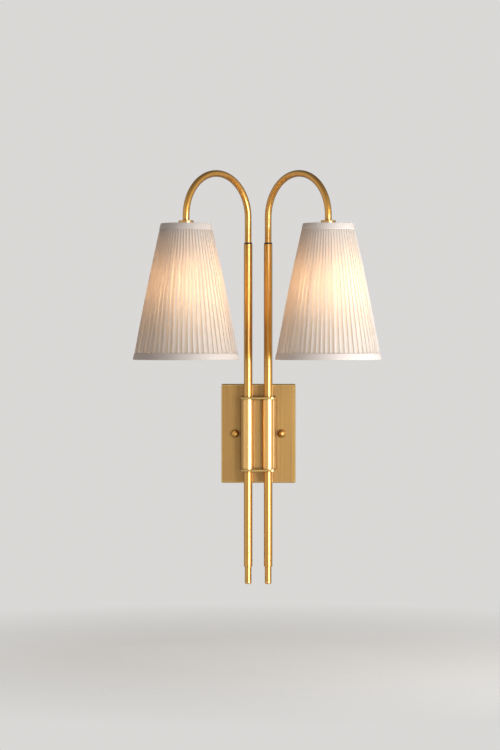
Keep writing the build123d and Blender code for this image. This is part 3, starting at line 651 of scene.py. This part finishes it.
def pleat_section(width, depth):
    """One knife pleat as (distance along, distance out): face, rolled fold and underlap.

    It is drawn with its fold at the far end and then mirrored, the way the cloth is folded.
    """
    crest = width * (1 - ROLL_SHARE)
    back = crest - min(UNDERLAP, UNDERLAP_LIMIT * crest)
    roll = (depth - LAYER_STEP) / 2
    middle = (depth + LAYER_STEP) / 2
    face = [(crest * s, between(2 * LAYER_STEP, depth, s ** FACE_CURVE)) for s in FACE_STEPS]
    turns = [math.pi * (0.5 - step / ROLL_STEPS) for step in range(ROLL_STEPS + 1)]
    fold = [
        (crest + width * ROLL_SHARE * math.cos(turn), middle + roll * math.sin(turn))
        for turn in turns
    ]
    under = [(between(crest, back, s), LAYER_STEP) for s in UNDER_STEPS]
    lower = [(between(back, width, s), LOWEST_LAYER) for s in LOWER_STEPS]
    return [(width - along, out) for along, out in reversed(face + fold + under + lower)]


def cloth_mesh(name, rows, flat, closed):
    """A mesh from rows of points, each of which runs once round the shade.

    flat gives each point's place in the cloth before it was sewn. closed joins the last row to
    the first.
    """
    count = len(rows[0])
    points = [point for row in rows for point in row]
    bands = len(rows) if closed else len(rows) - 1
    faces = []
    for row in range(bands):
        below = row * count
        above = (row + 1) % len(rows) * count
        for here in range(count):
            after = (here + 1) % count
            faces.append((below + here, below + after, above + after, above + here))
    mesh = bpy.data.meshes.new(name)
    mesh.from_pydata(points, [], faces)
    lay_flat(mesh, flat)
    mesh.polygons.foreach_set("use_smooth", [True] * len(mesh.polygons))
    piece = bpy.data.objects.new(name, mesh)
    bpy.context.scene.collection.objects.link(piece)
    return piece


def lay_flat(mesh, flat):
    """Keeps each corner's place in the flat cloth, which goes on past its seam."""
    layer = mesh.uv_layers.new(name="cloth")
    count = len(flat[0])
    last = flat[0][-1][0]
    length = last + (last - flat[0][-2][0])
    for index, corner in enumerate(layer.data):
        row, column = divmod(mesh.loops[index].vertex_index, count)
        u, v = flat[row][column]
        past_seam = column == 0 and index % 4 in (1, 2)
        corner.uv = (u + length if past_seam else u, v)


def draw_pleats(seed):
    """For each pleat its width, its depth, and how it strays and swells up the cover."""
    draw = random.Random(seed)
    turns = [math.tau * (pleat + 0.5) / PLEATS for pleat in range(PLEATS)]
    widths = [
        1 + PLEAT_SWING * math.cos(2 * turn) + PLEAT_JITTER * draw.uniform(-1, 1)
        for turn in turns
    ]
    depths = [1 + DEPTH_JITTER * draw.uniform(*DEPTH_RANGE) for _ in range(PLEATS)]
    strays = [slow_noise(draw.random(), WANDER_WAVES) for _ in range(PLEATS)]
    swells = [slow_noise(draw.random(), SWELL_WAVES) for _ in range(PLEATS)]
    return list(zip(widths, depths, strays, swells))


def pleated_round(pleats, axis, height, inside, depth, up):
    """The cover's points at one height, and each one's place in the flat cloth.

    inside is the radius within the cloth, depth how far a fold stands out, and up the height
    as a share of the cover's.
    """
    circle = math.tau * inside
    total = sum(pleat[0] for pleat in pleats)
    loose = math.sin(math.pi * up)
    points = []
    cloth = []
    start = 0.0
    run = 0.0
    for width_part, depth_part, strays, swells in pleats:
        width = circle * width_part / total
        fold_depth = depth * depth_part * (1 + DEPTH_SWELL * swells(up) * loose)
        stray = FOLD_WANDER * strays(up) * loose
        before = None
        for along, out in pleat_section(width, fold_depth):
            angle = (start + along + stray * math.sin(math.pi * along / width)) / inside
            points.append(round_axis(axis, inside + out, angle, height))
            run += math.dist(before, (along, out)) if before else PLEAT_STITCH
            before = (along, out)
            cloth.append((run, height))
        start += width
    return points, cloth


def pleated_cover(side, seed):
    """The knife-pleated cloth, gathered more tightly towards the top, and its flat size."""
    cad = f"{side}_shade_cover"
    axis = shade_axis(side)
    low, high = (corner.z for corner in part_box(cad))
    inside_low, crest_low = radii_at(cad, axis, low)
    inside_high, crest_high = radii_at(cad, axis, high)
    pleats = draw_pleats(seed)
    rows = []
    flat = []
    for row in range(PLEAT_ROWS + 1):
        up = row / PLEAT_ROWS
        height = between(low, high, up)
        inside = between(inside_low, inside_high, up) + LINER_GAP
        bulge = COVER_BULGE * math.sin(math.pi * up)
        depth = between(crest_low, crest_high, up) - inside + bulge
        points, cloth = pleated_round(pleats, axis, height, inside, depth, up)
        rows.append(points)
        flat.append(cloth)
    piece = cloth_mesh(f"{side}_pleated_cover", rows, flat, closed=False)
    cloth_length = between(flat[0][-1][0], flat[-1][-1][0], 0.5)
    slant = math.hypot(high - low, crest_low - crest_high)
    return piece, (cloth_length, slant)


def tape_section(node, axis, bottom):
    """A bound edge's closed section as (radius, height): outside, turn, hem and lining."""
    low, high = (corner.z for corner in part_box(node))
    edge, band = (low, high) if bottom else (high, low)
    inward = 1 if bottom else -1
    hem, outer_edge = radii_at(node, axis, edge)
    outer_band = radii_at(node, axis, band)[1]
    outside = []
    for step in range(TAPE_STEPS + 1):
        s = step / TAPE_STEPS
        crown = TAPE_CROWN * math.sin(math.pi * s) ** TAPE_CROWN_CURVE
        radius = between(outer_band, outer_edge, s) - TAPE_CROWN + crown
        outside.append((radius, between(band, edge, s * TAPE_END)))
    roll = inward * TAPE_ROLL * abs(high - low)
    turn = [
        (between(outer_edge, hem, across) - TAPE_CROWN * drawn_in, edge + roll * lift)
        for across, lift, drawn_in in TAPE_TURN
    ]
    lining_edge = edge + inward * TAPE_THICKNESS
    lining = [(radius - TAPE_THICKNESS, height) for radius, height in reversed(outside)]
    lining[0] = (lining[0][0], lining_edge)
    return outside + turn + [(hem, lining_edge)] + lining


def bound_edge(side, trim, seed):
    """A tape round one edge of a shade, lapped over itself at its join, and its flat size."""
    cad = f"{side}_{trim}_trim"
    axis = shade_axis(side)
    section = tape_section(cad, axis, bottom=trim == "bottom")
    ripple = slow_noise(seed, PLEATS)
    join = math.radians(TAPE_LAP_AZIMUTH - 90)
    lap = TAPE_LAP / section[0][0]
    angles = [math.tau * step / TAPE_ANGLES for step in range(TAPE_ANGLES)]
    angles.append((join - TAPE_LAP_EDGE) % math.tau)
    angles.append((join + lap + TAPE_LAP_EDGE) % math.tau)
    angles.sort()
    rows = []
    flat = []
    for radius, height in section:
        points = []
        cloth = []
        for angle in angles:
            out = TAPE_RIPPLE * ripple(angle / math.tau) - TAPE_RIPPLE
            if (angle - join) % math.tau >= lap:
                out -= TAPE_LAP_STEP
            points.append(round_axis(axis, radius + out, angle, height))
            cloth.append((angle * section[0][0], height + radius))
        rows.append(points)
        flat.append(cloth)
    piece = cloth_mesh(f"{side}_{trim}_tape", rows, flat, closed=True)
    length = math.tau * max(radius for radius, _ in section)
    width = sum(math.dist(a, b) for a, b in zip(section, section[1:])) / 2
    return piece, (length, width)


# ================================================================ lamps and shades
def make_lamps(side):
    """Lights inside a bulb that shine sideways, as a lamp's upright filament does."""
    low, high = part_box(f"{side}_bulb_glass")
    lamps = []
    for face in range(LAMP_FACES):
        turn = math.tau * face / LAMP_FACES
        light = bpy.data.lights.new(f"{side}_lamp_{face + 1}", "AREA")
        light.shape = "DISK"
        light.size = LAMP_SIZE
        light.color = LAMP_COLOUR
        light.energy = LAMP_POWER
        lamp = bpy.data.objects.new(f"{side}_lamp_{face + 1}", light)
        lamp.location = (low + high) / 2
        inward = Vector((-math.sin(turn), math.cos(turn), 0.0))
        lamp.rotation_euler = inward.to_track_quat("Z", "Y").to_euler()
        lamp.visible_camera = False
        bpy.context.scene.collection.objects.link(lamp)
        lamps.append(lamp)
    return lamps


def dress_shade(side, number, cover_silk, tape_silk):
    """Sews the cloth of one shade and lights its lamp. All of it swings with the arm."""
    body = f"{side}_swing_arm"
    cover, cover_flat = pleated_cover(side, COVER_SEED + number)
    cover.data.materials.append(cover_silk)
    for trim in ("top", "bottom"):
        tape, tape_flat = bound_edge(side, trim, TAPE_SEED + number)
        tape.data.materials.append(tape_silk)
        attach(tape, body)
        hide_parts(f"{side}_{trim}_trim")
    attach(cover, body)
    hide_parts(f"{side}_shade_cover")
    for lamp in make_lamps(side):
        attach(lamp, body)


# ================================================================ studio
def seen_rays(tree):
    """1 for what is seen, directly, in metal or through glass, and 0 for light on the object."""
    path = add(tree, "ShaderNodeLightPath").outputs
    seen = maths(tree, "MAXIMUM", path["Is Camera Ray"], path["Is Glossy Ray"])
    return maths(tree, "MAXIMUM", seen, path["Is Transmission Ray"])


def make_world():
    """An even background, and soft light that is weaker from overhead.

    In metal the studio also looks brighter at its sides and darker behind the object.
    """
    world = bpy.data.worlds.new("studio")
    world.use_nodes = True
    tree = world.node_tree
    tree.nodes.clear()
    rays = add(tree, "ShaderNodeLightPath").outputs
    mirrored = rays["Is Glossy Ray"]
    direction = add(tree, "ShaderNodeTexCoord").outputs["Generated"]
    sideways, inwards, up = add(tree, "ShaderNodeSeparateXYZ", {0: direction}).outputs
    overhead = ramp(tree, up, 1.0, ZENITH, over=ZENITH_FADE)
    shade = maths(tree, "MAXIMUM", overhead, rays["Is Camera Ray"])
    gain = maths(tree, "MULTIPLY", maths(tree, "MULTIPLY", sideways, sideways), SIDE_GAIN)
    gain = maths(tree, "ADD", maths(tree, "MULTIPLY", gain, mirrored), 1.0)
    behind = ramp(tree, inwards, 0.0, 1.0 - BEHIND, over=BEHIND_FADE)
    dimmed = maths(tree, "SUBTRACT", 1.0, maths(tree, "MULTIPLY", mirrored, behind))
    level = maths(tree, "MULTIPLY", maths(tree, "MULTIPLY", shade, gain), dimmed)
    colour = blend_colour(tree, seen_rays(tree), AMBIENT, BACKGROUND)
    sky = add(tree, "ShaderNodeBackground", {"Color": colour, "Strength": level}).outputs[0]
    add(tree, "ShaderNodeOutputWorld", {"Surface": sky})
    bpy.context.scene.world = world


def floor_paper(name):
    """Pale paper that fades away towards its rim and can't be seen from below."""
    material = new_material(name)
    tree = material.node_tree
    place = add(tree, "ShaderNodeTexCoord").outputs["Object"]
    away = vector_maths(tree, "LENGTH", place)["Value"]
    fade = ramp(tree, away, 0.0, 1.0, over=FLOOR_FADE)
    below = add(tree, "ShaderNodeNewGeometry").outputs["Backfacing"]
    grain = noise_at(tree, place, scale=180.0)
    tone = blend_colour(tree, ramp(tree, grain, 0.0, FLECK_SHARE), FLOOR_COLOUR, FLECK_COLOUR)
    level = maths(tree, "MULTIPLY", seen_rays(tree), FLOOR_GLOW)
    paper = glowing(tree, shader(tree, "Diffuse", {"Color": tone}), BACKGROUND, level)
    gone = maths(tree, "MAXIMUM", fade, below)
    finish_tree(tree, mix_shaders(tree, gone, paper, shader(tree, "Transparent")))
    return material


def make_floor():
    """A disc under the object."""
    low, high = cad_box
    bpy.ops.mesh.primitive_circle_add(
        vertices=96,
        radius=FLOOR_RADIUS,
        fill_type="TRIFAN",
        location=((low.x + high.x) / 2, (low.y + high.y) / 2, low.z - FLOOR_DROP),
    )
    floor = bpy.context.object
    floor.name = "studio_floor"
    floor.data.materials.append(floor_paper("studio_floor"))


def make_panel(name, azimuth, distance, height, size, power, colour):
    """An upright soft panel of light. azimuth is in degrees to the right of the camera."""
    turn = math.radians(azimuth)
    light = bpy.data.lights.new(name, "AREA")
    light.shape = "RECTANGLE"
    light.size, light.size_y = size
    light.energy = power
    light.color = colour
    panel = bpy.data.objects.new(name, light)
    panel.location = (distance * math.sin(turn), -distance * math.cos(turn), height)
    away = Vector((panel.location.x, panel.location.y, 0.0))
    panel.rotation_euler = away.to_track_quat("Z", "Y").to_euler()
    panel.visible_camera = False
    bpy.context.scene.collection.objects.link(panel)
    return panel


def make_camera():
    """The camera, at the photograph's viewing angle."""
    data = bpy.data.cameras.new("camera")
    data.lens = CAMERA_LENS
    data.sensor_fit = "VERTICAL"
    data.sensor_height = CAMERA_SENSOR
    data.sensor_width = CAMERA_SENSOR
    camera = bpy.data.objects.new("camera", data)
    camera.location = CAMERA_PLACE
    camera.rotation_euler = (CAMERA_TARGET - CAMERA_PLACE).to_track_quat("-Z", "Y").to_euler()
    bpy.context.scene.collection.objects.link(camera)
    bpy.context.scene.camera = camera


# ================================================================ the whole scene
dress_solids()
cover_silk = silk("pleated_silk", **COVER_SILK)
tape_silk = silk("tape_silk", **TAPE_SILK)
for number, side in enumerate(SIDES):
    dress_shade(side, number, cover_silk, tape_silk)

make_world()
make_floor()
make_panel("softbox", **SOFTBOX).visible_glossy = False
make_panel("highlight", **HIGHLIGHT).visible_diffuse = False
make_camera()
bpy.context.scene.view_settings.view_transform = "Standard"
